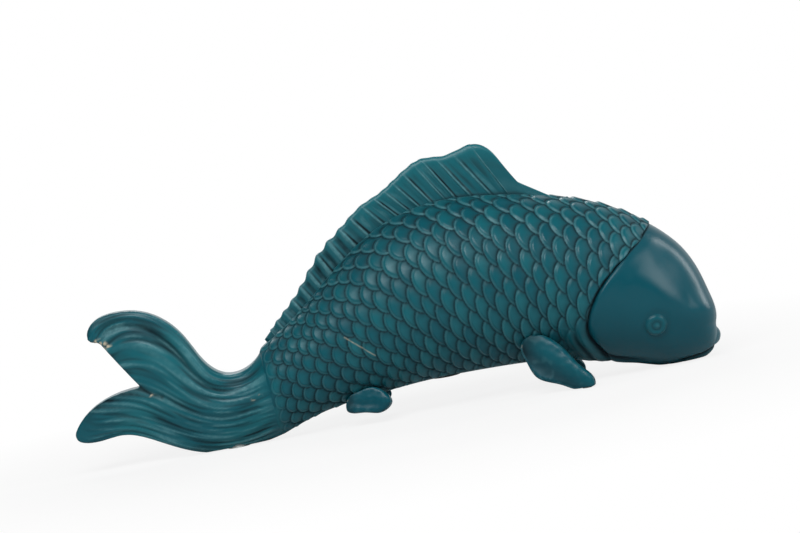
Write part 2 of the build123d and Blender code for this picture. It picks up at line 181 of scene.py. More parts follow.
def body_normals(s, turn):
    """Outward directions of the plain body."""
    step = 1e-3
    along = body_surface(np.minimum(s + step, LAST), turn) - body_surface(s - step, turn)
    around = body_surface(s, turn + step) - body_surface(s, turn - step)
    out = np.cross(along, around)
    return out / np.linalg.norm(out, axis=1)[:, None]


def gill_x(z):
    """x of the gill edge at height z."""
    edge = side_points(GILL_EDGE)[::-1]
    fine = spline_through(edge, np.linspace(0, len(edge) - 1, 200))
    return np.interp(z, fine[:, 1], fine[:, 0])


def gill_station(turn):
    """Station at which the body crosses the gill edge, for each turn, found by halving."""
    low = np.full_like(turn, 4.0)
    high = np.full_like(turn, 11.0)
    for _ in range(40):
        middle = (low + high) / 2
        point = body_surface(middle, turn)
        behind = point[:, 0] < gill_x(point[:, 2])
        low = np.where(behind, middle, low)
        high = np.where(behind, high, middle)
    return (low + high) / 2


def edge_depth(turn):
    """How deep the skins dive at the gill: fully on the sides, less at the back and the belly."""
    degrees = np.degrees(np.abs(turn))
    return 1 - 0.75 * np.maximum(ramp(148, 172, degrees), 1 - ramp(4, 22, degrees))


# How far each station lies along the body from the tail joint
STATION_LINE = np.linspace(-1, LAST, 700)
back_line, belly_line, _ = body_sections(STATION_LINE)
middle_line = belly_line + (back_line - belly_line) * WIDEST_LEVEL
ALONG = np.concatenate([[0], np.cumsum(np.linalg.norm(np.diff(middle_line, axis=0), axis=1))])
ALONG -= np.interp(0, STATION_LINE, ALONG)


def distance_round(s, turn):
    """Distance round the section from the widest line, positive towards the back."""
    steps = 24
    total = np.zeros_like(s)
    start = np.full_like(s, math.pi / 2)
    side = np.abs(turn)
    before = body_surface(s, start)
    for i in range(1, steps + 1):
        now = body_surface(s, start + (side - start) * i / steps)
        total += np.linalg.norm(now - before, axis=1)
        before = now
    return np.where(side < math.pi / 2, total, -total)


GIRTH = (distance_round(STATION_LINE, np.zeros_like(STATION_LINE))
         - distance_round(STATION_LINE, np.full_like(STATION_LINE, math.pi)))


def chance(column, row, seed):
    """A number from 0 to 1 that is always the same for one scale."""
    number = np.sin(column * 12.9898 + row * 78.233 + seed) * 43758.5453
    return number - np.floor(number)


# Which scale lies on top: further forward first, then higher up
LEVELS = np.linspace(-90 * MM, 90 * MM, 361)
NEAR_BACK = ramp(26 * MM, 46 * MM, LEVELS)
FACINGS = FACE_DOWN_FLANK + (FACE_DOWN_BACK - FACE_DOWN_FLANK) * NEAR_BACK
LEAD = np.cumsum(FACINGS) * (LEVELS[1] - LEVELS[0])


def scale_coat(along, around, girth):
    """Overlapping scales: each lies over those behind and below it, and its free edge stands out; below that
    edge lies painted shade, and on it a pale rim that is part worn paint and part painted highlight.
    """
    place = along / SCALE_PITCH
    row_size = SCALE_ROW * girth ** 0.75
    height = around / row_size
    plates = []
    for ahead in (-1, 0, 1, 2, 3):
        column = np.floor(place) + ahead
        shift = (column % 2) / 2
        nearest = np.round(height - shift)
        for beside in (-1, 0, 1):
            row = nearest + beside
            level = (row + shift) * row_size
            facing = np.interp(level / girth, LEVELS, FACINGS)
            order = column * SCALE_PITCH + np.interp(level / girth, LEVELS, LEAD)
            back = (column - place) * SCALE_PITCH + 0.8 * MM * (chance(column, row, 3.0) - 0.5)
            up = around - level + 0.9 * MM * (chance(column, row, 7.0) - 0.5)
            size = 0.96 + 0.08 * chance(column, row, 5.0)
            near = np.interp(level / girth, LEVELS, NEAR_BACK)
            reach = SCALE_REACH * size * (1 + 0.12 * near)
            spread = SCALE_SPREAD_SHARE * row_size * size * (1 - 0.12 * near)
            outward = (back - facing * up) / np.sqrt(1 + facing**2) / reach
            across = (facing * back + up) / np.sqrt(1 + facing**2) / spread
            radius = np.hypot(outward, across)
            plates.append((order, outward, across, radius, chance(column, row, 0.0)))
    top = np.full_like(along, -1.0)
    coat = {key: np.zeros_like(along) for key in ("relief", "rim", "tone", "painted_shade")}
    for order, outward, across, radius, tone in plates:
        here = (radius < 1) & (order > top)
        top = np.where(here, order, top)
        plate = 0.42 + 0.58 * np.clip(outward, -0.3, 1) - 0.22 * across**2
        edge = 1 - 0.8 * ramp(0.68, 1.0, radius)
        coat["relief"] = np.where(here, plate * edge, coat["relief"])
        # pale rim along each free edge: worn paint together with painted highlight
        coat["rim"] = np.where(here, bell(radius - 0.88, 0.06) * ramp(0.1, 0.6, outward), coat["rim"])
        coat["tone"] = np.where(here, tone, coat["tone"])
        # painted shade at the plate's own outer edge
        coat["painted_shade"] = np.where(here, 0.45 * ramp(0.90, 1.0, radius), coat["painted_shade"])
    # painted shade on scales just below an overlapping free edge: a dark line near it and a wider soft fade
    for order, outward, across, radius, tone in plates:
        past = np.maximum(radius - 1, 0)
        shade = 0.50 * bell(past, 0.10) + 0.45 * bell(past, 0.38)
        below_edge = shade * (order > top) * ramp(-0.2, 0.3, outward)
        coat["painted_shade"] = np.maximum(coat["painted_shade"], below_edge)
    return coat


def sheet(name, columns, rows, place):
    """A skin made from a grid of quads: place() turns shares of its two directions into points and marks."""
    bm = bmesh.new()
    bmesh.ops.create_grid(bm, x_segments=columns, y_segments=rows, size=0.5)
    share = np.array([v.co[:2] for v in bm.verts]) + 0.5
    points, marks = place(share[:, 0], share[:, 1])
    layers = {key: bm.verts.layers.float.new(key) for key in marks}
    for i, v in enumerate(bm.verts):
        v.co = points[i]
        for key, layer in layers.items():
            v[layer] = marks[key][i]
    bmesh.ops.remove_doubles(bm, verts=bm.verts[:], dist=0.02 * MM)
    return finish_piece(name, bm)


def finish_piece(name, bm):
    """Closes open ends, keeps the piece off the floor, turns its faces outwards and makes it."""
    ends = [e for e in bm.edges if e.is_boundary]
    if ends:
        caps = bmesh.ops.holes_fill(bm, edges=ends, sides=0)["faces"]
        bmesh.ops.poke(bm, faces=caps)
        for edge in ends:
            edge.smooth = False
    for v in bm.verts:
        v.co.z = max(v.co.z, FLOOR_GAP)
    bmesh.ops.recalc_face_normals(bm, faces=bm.faces[:])
    mesh = bpy.data.meshes.new(name)
    bm.to_mesh(mesh)
    bm.free()
    for polygon in mesh.polygons:
        polygon.use_smooth = True
    piece = bpy.data.objects.new(name, mesh)
    bpy.context.scene.collection.objects.link(piece)
    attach(piece, "root")
    return piece


def cast_copy(name, node, voxel):
    """A copy of a CAD casting, remeshed and softened as paint over a mould softens it."""
    bm = bmesh.new()
    bm.from_mesh(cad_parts[node].data)
    bmesh.ops.remove_doubles(bm, verts=bm.verts[:], dist=0.001 * MM)
    mesh = bpy.data.meshes.new(name)
    bm.to_mesh(mesh)
    bm.free()
    piece = bpy.data.objects.new(name, mesh)
    bpy.context.scene.collection.objects.link(piece)
    remesh = piece.modifiers.new("voxels", "REMESH")
    remesh.mode = "VOXEL"
    remesh.voxel_size = voxel
    bpy.context.view_layer.update()
    whole = bpy.data.meshes.new_from_object(piece.evaluated_get(bpy.context.evaluated_depsgraph_get()))
    bpy.data.objects.remove(piece)
    bm = bmesh.new()
    bm.from_mesh(whole)
    for _ in range(SOFTENING):
        bmesh.ops.smooth_vert(bm, verts=bm.verts[:], factor=0.5,
                              use_axis_x=True, use_axis_y=True, use_axis_z=True)
    bm.normal_update()
    return bm


def carve(bm, height, marks):
    """Moves a casting's points along their normals and gives them their paint marks."""
    layers = {key: bm.verts.layers.float.new(key) for key in marks}
    for i, v in enumerate(bm.verts):
        v.co += v.normal * float(height[i])
        for key, layer in layers.items():
            v[layer] = float(marks[key][i])


def bm_arrays(bm):
    """Points and outward directions of a casting's mesh."""
    points = np.array([v.co for v in bm.verts])
    normals = np.array([v.normal for v in bm.verts])
    return points, normals


# Every skin carries four paint marks from 0 to 1: painted_shade paints shade dark into hollows, creases and
# under overlapping edges; wear is edges rubbed pale together with painted highlights on crests, rims and
# pupils; tone lightens the colour, as random brushwork on most skins, towards the upper edge on the back fin
# and along the keel on the paired fins; chip is bare resin.

# Tail: lines in the side view, as shares of length and height
TAIL_UPPER = [
    (0.306, 0.370), (0.275, 0.301), (0.245, 0.295), (0.220, 0.341), (0.192, 0.471),
    (0.145, 0.587), (0.091, 0.615), (0.054, 0.580), (0.047, 0.545),
]
TAIL_LOWER = [
    (0.001, 0.160), (0.018, 0.126), (0.074, 0.132), (0.126, 0.079), (0.183, 0.010),
    (0.243, -0.011), (0.288, -0.001), (0.316, 0.017),
]
TAIL_FORK_CREASE = [(0.110, 0.310), (0.125, 0.280), (0.142, 0.252)]
TAIL_INNER_LOBE = [(0.114, 0.306), (0.067, 0.293), (0.026, 0.245), (0.001, 0.175)]
# Its relief: streaks, the rolled rim and its trench inside the upper edge, and the crease at the fork
BROAD_STREAK, BROAD_RISE = 4.4 * MM, 0.42 * MM
FINE_STREAK, FINE_RISE = 1.8 * MM, 0.36 * MM
RIM_INSET, RIM_WIDTH, RIM_RISE = 3.2 * MM, 2.6 * MM, 0.8 * MM
TRENCH_INSET, TRENCH_WIDTH, TRENCH_DEPTH = 8.2 * MM, 1.5 * MM, 1.3 * MM
CREASE_WIDTH, CREASE_DEPTH = 1.1 * MM, 0.9 * MM
INNER_SHADE = 3.0 * MM
STREAK_SPREAD = 70 * MM
BRUSHWORK = 24 * MM
# Places where the paint has chipped to the cream resin: x, z and size in millimetres
TAIL_CHIPS = [
    (-148.9, 68.0, 1.2), (-146.6, 66.4, 1.2), (-144.3, 64.4, 1.0),
    (-127.0, 35.5, 0.5), (-71.0, 25.5, 0.5), (-75.0, 24.0, 0.45),
]


def carve_tail(bm):
    """Streaks from the root into both lobes, a rolled rim, a trench behind it and the fork crease."""
    points, normals = bm_arrays(bm)
    x, y, z = points.T
    top = line_gap(x, z, TAIL_UPPER)
    over, under = soft_gap(x, z, TAIL_UPPER), soft_gap(x, z, TAIL_LOWER)
    across = under / (under + over)
    # noise drawn out along the tail makes the streaks
    flow = np.stack([x * 0.16, y * 0.3, across * STREAK_SPREAD], 1)
    broad = smooth_noise(flow, BROAD_STREAK, 3.0)
    fine = smooth_noise(flow * (0.6, 0.6, 1.0), FINE_STREAK, 11.0)
    face = ramp(0.35, 0.75, np.abs(normals[:, 1]))
    share = length_share(x)
    root = 1 - ramp(0.285, 0.318, share)
    rolled = bell(top - RIM_INSET, RIM_WIDTH) * (1 - ramp(0.23, 0.27, share))
    trench = bell(top - TRENCH_INSET, TRENCH_WIDTH) * ramp(0.05, 0.09, share) * (1 - ramp(0.22, 0.27, share))
    crease = bell(line_gap(x, z, TAIL_FORK_CREASE), CREASE_WIDTH)
    inner_lobe_shade = bell(line_gap(x, z, TAIL_INNER_LOBE), INNER_SHADE) * (1 - ramp(0.10, 0.13, share))
    # the relief ends on the narrow edges, at the trunk and at the lobes' ends
    fade = face * root * ramp(0.004, 0.045, share)
    height = fade * (BROAD_RISE * broad + FINE_RISE * fine + RIM_RISE * rolled
                     - TRENCH_DEPTH * trench - CREASE_DEPTH * crease)
    chip = np.zeros_like(x)
    for cx, cz, size in TAIL_CHIPS:
        chip = np.maximum(chip, bell(np.hypot((x - cx * MM) * 0.6, z - cz * MM), size * MM))
    near_face = y < 1 * MM
    chip *= ramp(-0.15, 0.25, smooth_noise(points, 1.6 * MM, 21.0)) * near_face
    # painted shade in the streaks' troughs, the trench, the fork crease and along the inner lobe; the
    # streaks' crests are painted paler as highlight
    hollow_shade = (0.35 * ramp(0.05, 0.55, -broad) + 0.5 * ramp(0.05, 0.45, -fine)
               + 0.5 * trench + crease + 0.6 * inner_lobe_shade)
    carve(bm, height, {
        "painted_shade": np.clip(fade * hollow_shade, 0, 1),
        "wear_and_highlight": np.clip(fade * (0.4 * ramp(0.1, 0.6, broad) + 0.8 * ramp(0.12, 0.5, fine)), 0, 1),
        "tone": 0.26 + 0.45 * root * ramp(-0.4, 0.5, smooth_noise(points, BRUSHWORK, 5.0)),
        "chip": np.clip(1.4 * chip, 0, 0.9),
    })


tail_bm = cast_copy("tail_skin", "tail_casting", TAIL_VOXEL)
carve_tail(tail_bm)
tail = finish_piece("tail_skin", tail_bm)
tail_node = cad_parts["tail_casting"].data
tail_tree = BVHTree.FromPolygons([v.co for v in tail_node.vertices],
                                 [p.vertices for p in tail_node.polygons])


# Trunk: a scratch on the right flank, the two folds behind the gill, the bead beside the back fin, and
# painted shade lines at the gill edge, between the folds and along the back fin's foot
SCRATCH = [(0.435, 0.361), (0.455, 0.318), (0.475, 0.274)]
SCRATCH_WIDTH = 0.26 * MM
FOLD_RISE = 1.5 * MM
FOLDS_BEHIND_GILL = (4 * MM, 9.3 * MM)
FOLD_WIDTHS = (1.9 * MM, 2.1 * MM)
TROUGH_SHADE_BEHIND_GILL, TROUGH_SHADE_WIDTH = 6.7 * MM, 1.2 * MM
BEAD_OUT, BEAD_WIDTH, BEAD_RISE = 4.8 * MM, 0.9 * MM, 0.6 * MM
FIN_SHADE_OUT, FIN_SHADE_WIDTH = 3.2 * MM, 0.8 * MM
NAPE_RAGGED, NAPE_WAVE = 0.8 * MM, 1.05 * MM


def trunk_place(sign):
    """One side of the trunk from the back to the belly; its rear sinks into the tail root."""
    def place(u, v):
        turn = sign * math.pi * v
        stop = gill_station(turn) + GILL_LAP
        s = TRUNK_REAR + u * (stop - TRUNK_REAR)
        points = body_surface(s, turn)
        normals = body_normals(s, turn)
        lapped = ramp(0.0, 0.14, -s)
        for i in np.flatnonzero(lapped > 0):
            on_tail = np.array(tail_tree.find_nearest(points[i])[0])
            points[i] += lapped[i] * (on_tail - points[i])
        x, y, z = points.T
        around = distance_round(s, turn)
        along = np.interp(s, STATION_LINE, ALONG)
        girth = np.interp(s, STATION_LINE, GIRTH) / GIRTH.max()
        coat = scale_coat(along, around, girth)
        settled = ramp(-5 * MM, 8 * MM, along)
        sink = ramp(0.0, 0.22, -s)
        # the gill edge: smooth on the cheek, ragged with scales at the nape, folded near the throat
        nape = ramp(*NAPE_LEVELS, z)
        behind = gill_x(z) - x + NAPE_RAGGED * nape * np.sin(z / NAPE_WAVE)
        depth = edge_depth(turn)
        low = 1 - ramp(0.16 * HEIGHT, 0.28 * HEIGHT, z)
        dive = 1 - ramp(-1.4 * MM, 1.4 * MM, behind) * (1 - nape) - ramp(-0.9 * MM, 0.3 * MM, behind) * nape
        first, second = (bell(behind - gap, width) for gap, width in zip(FOLDS_BEHIND_GILL, FOLD_WIDTHS))
        folds = low * depth * (first + 0.8 * second)
        # bare strips under the back fin, at the belly and on the folds
        fin_above = 1 - ramp(*FIN_FRONT, length_share(x))
        beside_fin = 1 - (1 - ramp(3.6 * MM, 6.5 * MM, np.abs(y))) * fin_above
        belly = ramp(158, 170, np.degrees(np.abs(turn)))
        cover = (1 - low * (1 - ramp(11 * MM, 14 * MM, behind))) * (1 - 0.9 * belly) * beside_fin
        height = SCALE_RISE * coat["relief"] * cover * settled + FOLD_RISE * folds
        height = height * (1 - dive) - TRUNK_LAP_DEPTH * dive * depth
        height = height * (1 - sink) - REAR_SINK * sink
        on_back = turn**2 < 1
        fin_bead = bell(np.abs(y) - BEAD_OUT, BEAD_WIDTH) * fin_above * on_back
        height += BEAD_RISE * fin_bead
        # painted shade: dark lines in the gill groove, along the back fin's foot and in the trough between
        # the folds
        gill_groove_shade = bell(behind + 0.4 * MM * nape, (1.3 - 0.6 * nape) * MM) * ramp(*FLOOR_FADE, z)
        fin_foot_shade = bell(np.abs(y) - FIN_SHADE_OUT, FIN_SHADE_WIDTH) * fin_above * on_back
        pleat = low * bell(behind - TROUGH_SHADE_BEHIND_GILL, TROUGH_SHADE_WIDTH)
        scratch = line_gap(x, z, SCRATCH, 40) if sign < 0 else np.full_like(x, 1.0)
        hollow_shade = [coat["painted_shade"] * cover * settled, gill_groove_shade, fin_foot_shade, 0.8 * pleat]
        marks = {
            "painted_shade": np.clip(np.maximum.reduce(hollow_shade), 0, 1),
            # rubbed pale rims with painted highlights, paler towards the back, and a pale line on the bead
            # beside the back fin
            "wear_and_highlight": (0.40 + 0.5 * ramp(15 * MM, 40 * MM, around)) * coat["rim"] * cover + 0.4 * fin_bead,
            "tone": 0.42 + 0.40 * (coat["tone"] - 0.5) * cover,
            "chip": 0.55 * bell(scratch, SCRATCH_WIDTH),
        }
        return points + normals * height[:, None], marks
    return place


# Head: lines and places in the side view, as shares of length and height
TEMPLE = [(0.922, 0.480), (0.932, 0.430), (0.947, 0.364), (0.961, 0.308), (0.969, 0.248)]
THROAT = [(0.808, 0.120), (0.824, 0.087), (0.842, 0.067), (0.874, 0.043), (0.900, 0.028)]
BROW = [(0.881, 0.373), (0.905, 0.320), (0.931, 0.243), (0.953, 0.208), (0.966, 0.217)]
MUZZLE = (0.996, 0.165)
MOUTH = [(1.014, 0.056), (0.990, 0.040), (0.973, 0.024), (0.955, 0.016), (0.925, 0.012)]
LIP = (0.990, 0.080)
# Width and height of these forms
TEMPLE_WIDTH, TEMPLE_DEPTH = 7.0 * MM, 1.0 * MM
BROW_WIDTH, BROW_RISE = 6.5 * MM, 1.0 * MM
MUZZLE_WIDTH, MUZZLE_RISE = 10 * MM, 1.9 * MM
THROAT_WIDTH, THROAT_DEPTH = 1.2 * MM, 0.9 * MM
SLIT_WIDTH, SLIT_DEPTH = 0.8 * MM, 1.0 * MM
LIP_WIDTH, LIP_RISE = 4.6 * MM, 0.8 * MM
JAW_BELOW, JAW_WIDTH, JAW_RISE = 2.2 * MM, 1.5 * MM, 0.9 * MM
NOTCH_ABOVE, NOTCH_WIDTH, NOTCH_DEPTH = 6.6 * MM, 2.0 * MM, 0.3 * MM
GILL_SWELL, GILL_SWELL_WIDTH, GILL_SWELL_RISE = 5 * MM, 4.5 * MM, 0.4 * MM
EYE_SWELL_WIDTH, EYE_SWELL_RISE = 8 * MM, 0.7 * MM
EYE_DENT, EYE_DENT_WIDTH, EYE_DENT_DEPTH = 6.4 * MM, 1.8 * MM, 0.4 * MM
# Share of the head's grid at which the closing dome of the snout starts, its middle and how far it swells
NOSE_SHARE = 0.93
DOME_MIDDLE = 0.60
DOME_RISE = 3.6 * MM


def head_place(u, v):
    """The head from under the trunk's edge to the snout, which closes in a low dome."""
    turn = (v - 0.5) * 2 * math.pi
    start = gill_station(turn) - GILL_LAP
    nose = np.clip((u - NOSE_SHARE) / (1 - NOSE_SHARE), 0, 1)
    s = start + (LAST - start) * np.minimum(u / NOSE_SHARE, 1)
    points = body_surface(s, turn)
    normals = body_normals(np.minimum(s, LAST - 0.01), turn)
    ends = body_surface(np.array([LAST, LAST], float), np.array([0.0, math.pi]))
    middle = ends[1] + (ends[0] - ends[1]) * DOME_MIDDLE
    forward = np.array([0.985, 0, -0.17])
    swelling = 1 - (1 - nose) ** 2
    dome = middle + (points - middle) * (1 - nose[:, None]) + forward * (DOME_RISE * swelling)[:, None]
    points = np.where(nose[:, None] > 0, dome, points)
    normals = normals * (1 - nose[:, None]) + forward * nose[:, None]
    normals /= np.linalg.norm(normals, axis=1)[:, None]
    x, z = points[:, 0], points[:, 2]
    share = length_share(x)
    ahead = x - gill_x(z)
    nape = ramp(*NAPE_LEVELS, z)
    dive = 1 - ramp(-1.0 * MM, 2.6 * MM, ahead) * (1 - nape) - ramp(-4.5 * MM, 0.8 * MM, ahead) * nape
    height = GILL_SWELL_RISE * bell(ahead - GILL_SWELL, GILL_SWELL_WIDTH) * (1 - nape)
    height -= TEMPLE_DEPTH * bell(line_gap(x, z, TEMPLE), TEMPLE_WIDTH) * ramp(6 * MM, 26 * MM, ahead)
    height += BROW_RISE * bell(line_gap(x, z, BROW), BROW_WIDTH)
    muzzle_x, muzzle_z = side_points([MUZZLE])[0]
    height += MUZZLE_RISE * bell(np.hypot(x - muzzle_x, z - muzzle_z), MUZZLE_WIDTH) * (1 - nose)
    # mouth slit, lips and lower jaw
    mouth = spline_through(side_points(MOUTH), np.linspace(0, len(MOUTH) - 1, 60))[::-1]
    drop = z - np.interp(x, mouth[:, 0], mouth[:, 1])
    fore = ramp(0.915, 0.945, share)
    slit = bell(drop, SLIT_WIDTH) * fore
    lip_x, lip_z = side_points([LIP])[0]
    lip = bell(np.hypot(x - lip_x, z - lip_z), LIP_WIDTH)
    notch = bell(z - lip_z - NOTCH_ABOVE, NOTCH_WIDTH) * ramp(0.966, 0.985, share)
    jaw = bell(drop + JAW_BELOW, JAW_WIDTH) * fore
    height += LIP_RISE * lip + JAW_RISE * jaw - SLIT_DEPTH * slit - NOTCH_DEPTH * notch
    throat = bell(line_gap(x, z, THROAT), THROAT_WIDTH) * ramp(0.808, 0.830, share)
    throat *= 1 - ramp(0.835, 0.895, share)
    height -= THROAT_DEPTH * throat
    # the eye sits in a shallow ring-shaped dent on a low swelling
    eye_x, eye_z = side_points([EYE_PLACE])[0]
    eye = np.hypot(x - eye_x, z - eye_z)
    height += EYE_SWELL_RISE * bell(eye, EYE_SWELL_WIDTH)
    height -= EYE_DENT_DEPTH * bell(eye - EYE_DENT, EYE_DENT_WIDTH)
    height = height * (1 - dive) - HEAD_LAP_DEPTH * dive * edge_depth(turn)
    # painted shade along the gill edge, in the throat groove and the mouth slit, and round the eye
    gill_edge_shade = bell(ahead, 0.9 * MM) * ramp(*FLOOR_FADE, z)
    eye_ring_shade = 0.12 * bell(eye - 6.2 * MM, 1.2 * MM)
    marks = {
        "painted_shade": np.clip(gill_edge_shade + throat + slit + eye_ring_shade, 0, 1),
        "wear_and_highlight": 0.6 * bell(drop + 1.3 * MM, 0.6 * MM) * fore + 0.25 * lip,
        "tone": np.full_like(u, 0.10),
        "chip": np.zeros_like(u),
    }
    return points + normals * height[:, None], marks


# Back fin: matched feet and tips of its rays, from the tail end to the front
FIN_FEET = side_points([
    (0.318, 0.372), (0.350, 0.430), (0.392, 0.510), (0.434, 0.598), (0.478, 0.684), (0.526, 0.748),
    (0.568, 0.782), (0.626, 0.795), (0.665, 0.790), (0.697, 0.776), (0.724, 0.763), (0.742, 0.754),
    (0.754, 0.748), (0.764, 0.743), (0.776, 0.735), (0.790, 0.726),
])
FIN_TIPS = side_points([
    (0.312, 0.398), (0.340, 0.468), (0.378, 0.564), (0.416, 0.682), (0.456, 0.768), (0.495, 0.843),
    (0.532, 0.886), (0.584, 0.968), (0.619, 0.977), (0.646, 0.980), (0.677, 0.999), (0.703, 0.968),
    (0.719, 0.898), (0.729, 0.840), (0.754, 0.790), (0.784, 0.738),
])
# How deep its foot sits in the back, half its thickness at foot and tip, and the height of full relief
FIN_SUNK = 3 * MM
FIN_FOOT_HALF, FIN_TIP_HALF = 3.1 * MM, 1.5 * MM
FIN_FULL_RAYS = 12 * MM
# Feet of the raised rays, as shares of the length
RAY_FEET = np.array([
    0.331, 0.345, 0.360, 0.377, 0.395, 0.413, 0.433, 0.455, 0.478, 0.500,
    0.526, 0.549, 0.568, 0.585, 0.605, 0.626, 0.641, 0.665, 0.697, 0.724,
])


def fin_place(u, v):
    """Both faces of the back fin: thin raised rays with shallow hollow panels between them."""
    side = np.where(v < 0.5, -1.0, 1.0)
    w = 1 - np.abs(2 * v - 1)
    at = u * (len(FIN_FEET) - 1)
    feet = spline_through(FIN_FEET, at)
    tips = spline_through(FIN_TIPS, at)
    reach = tips - feet
    size = np.linalg.norm(reach, axis=1)
    foot = length_share(feet[:, 0])
    ray = np.interp(foot, RAY_FEET, np.arange(len(RAY_FEET)), left=-0.5, right=len(RAY_FEET) - 0.5)
    off = ray - np.round(ray)
    swell = np.cos(2 * math.pi * off)
    crest = bell(off, 0.065)
    rear = 1 - ramp(0.44, 0.52, foot)
    front = ramp(0.726, 0.745, foot)
    strong = (0.75 + 0.25 * np.sin(np.round(ray) * 2.4)) * (1 - front)
    tall = np.clip(size / FIN_FULL_RAYS, 0, 1)
    tips = tips + reach / size[:, None] * ((0.15 + 0.55 * rear) * MM * swell * tall * (1 - front))[:, None]
    # the fin thins upwards and its upper edge is rounded
    sunk = feet - reach / size[:, None] * FIN_SUNK
    rise = np.clip(w / 0.97, 0, 1)
    middle = sunk + (tips - sunk) * rise[:, None]
    half = FIN_FOOT_HALF * (1 - rise) + FIN_TIP_HALF * rise
    half *= np.sqrt(np.clip(1 - ((rise - 0.9) / 0.1) ** 2, 0, 1)) * (rise > 0.9) + (rise <= 0.9)
    half *= ramp(0, 0.02, w) * ramp(0, 0.012, u) * ramp(0, 0.012, 1 - u)
    # where along their height the rays stand out
    stretch = ramp(0.10, 0.28, rise) * (1 - ramp(0.70, 0.97, rise) * (1 - 0.6 * rear))
    stretch = stretch * ramp(0, 0.05, 1 - rise) * tall
    pleat = ((0.25 + 0.7 * rear) * swell + 1.0 * crest * (1 - 0.7 * rear)) * strong * MM * stretch
    y = side * (half + pleat * (half > 0))
    brushed = smooth_noise(np.stack([ray * 2.6, rise * 2.2, side * 3.0], 1), 1.0, 4.0)
    # painted shade: a dark line beside each ray, in the troughs between rays and along the foot, with random
    # darker patches
    hollow_shade = (1.9 * bell(off - 0.15, 0.08) * stretch * strong * (1 - 0.6 * rise)
               + (0.15 + 0.55 * rear) * ramp(0.2, 0.9, -swell) * stretch
               + 0.6 * bell(rise - 0.15, 0.04)
               + 0.35 * ramp(0.1, 0.6, -brushed) * stretch)
    # painted highlights on the ray crests and the rear pillows, random rubbed paleness, and a pale upper
    # edge
    rubbed_and_highlit = 0.45 * ramp(0.1, 0.6, brushed) + 1.8 * crest * strong + 0.8 * rear * ramp(0.5, 1, swell)
    marks = {
        "painted_shade": np.clip(hollow_shade, 0, 1),
        "wear_and_highlight": np.clip(rubbed_and_highlit * stretch + 0.3 * bell(rise - 0.95, 0.04), 0, 1),
        "tone": 0.35 + 0.35 * rise * (1 - 0.5 * rear),
        "chip": np.zeros_like(u),
    }
    return np.stack([middle[:, 0], y, middle[:, 1]], 1), marks


# Paired fins: root and tip seen from the side, voxel size, and depth of keel and hollow
LEAVES = {
    "pectoral_fin": ((0.703, 0.215), (0.788, 0.005), 0.5 * MM, 1.0),
    "pelvic_fin": ((0.425, 0.125), (0.482, 0.085), 0.4 * MM, 0.25),
}
KEEL_RISE, HOLLOW_DEPTH = 0.6 * MM, 0.7 * MM
DENT_SIZE, DENT_RISE = 3.2 * MM, 0.2 * MM
SPECK_SIZE = 2.2 * MM


def carve_leaf(bm, root, tip, depth, sign):
    """A paired fin: a soft keel from root to tip, a hollow beside it and the dents of the mould."""
    points, normals = bm_arrays(bm)
    x, z = points[:, 0], points[:, 2]
    (rx, rz), (tx, tz) = side_points([root, tip])
    reach = math.hypot(tx - rx, tz - rz)
    along = ((x - rx) * (tx - rx) + (z - rz) * (tz - rz)) / reach**2
    off = ((x - rx) * (tz - rz) - (z - rz) * (tx - rx)) / reach
    outer = ramp(0.3, 0.8, normals[:, 1] * sign)
    dents = smooth_noise(points, DENT_SIZE, 2.0)
    keel = depth * bell(off + 0.04 * reach, 0.10 * reach)
    hollow = depth * bell(off - 0.16 * reach, 0.10 * reach)
    height = outer * (KEEL_RISE * keel - HOLLOW_DEPTH * hollow + DENT_RISE * dents)
    rim = 1 - ramp(0.45, 0.95, np.abs(normals[:, 1]))
    specks = ramp(0.45, 0.6, smooth_noise(points, SPECK_SIZE, 9.0))
    # painted shade in the hollow and at the root; paler on the dents and edges
    carve(bm, height, {
        "painted_shade": np.clip(0.5 * hollow * outer + 0.5 * bell(along, 0.12) * outer, 0, 1),
        "wear_and_highlight": np.clip(0.18 * outer * ramp(0.2, 0.6, dents) + 0.25 * rim * ramp(-0.2, 0.3, dents), 0, 1),
        "tone": 0.10 + 0.15 * keel,
        "chip": 0.35 * rim * specks * bell(along - 0.1, 0.2),
    })


# Materials
def linear(code):
    """A hex colour as linear RGBA."""
    parts = [int(code[i:i + 2], 16) / 255 for i in (1, 3, 5)]
    return tuple(c / 12.92 if c <= 0.04045 else ((c + 0.055) / 1.055) ** 2.4 for c in parts) + (1.0,)


def add(tree, kind, inputs=None, **settings):
    """Adds a node with its settings, values and links.

    Sockets by number: Mix has its share at 0, numbers at 2 and 3 and colours at 6 and 7, Map Range has
    its old limits at 1 and 2 and its new ones at 3 and 4.
    """
    node = tree.nodes.new(kind)
    for key, value in settings.items():
        setattr(node, key, value)
    for key, value in (inputs or {}).items():
        if isinstance(value, bpy.types.NodeSocket):
            tree.links.new(value, node.inputs[key])
        else:
            node.inputs[key].default_value = value
    return node


def new_material(name):
    """A new material, its tree and its shader."""
    material = bpy.data.materials.new(name)
    material.use_nodes = True
    tree = material.node_tree
    return material, tree, tree.nodes["Principled BSDF"]


# Size of the lacquer's soft clouds, and of its grit, which is drawn coarser than real so that it shows
LACQUER_CLOUD = 28 * MM
LACQUER_GRIT = 2.2 * MM
MOULD_GRIT = 3 * MM


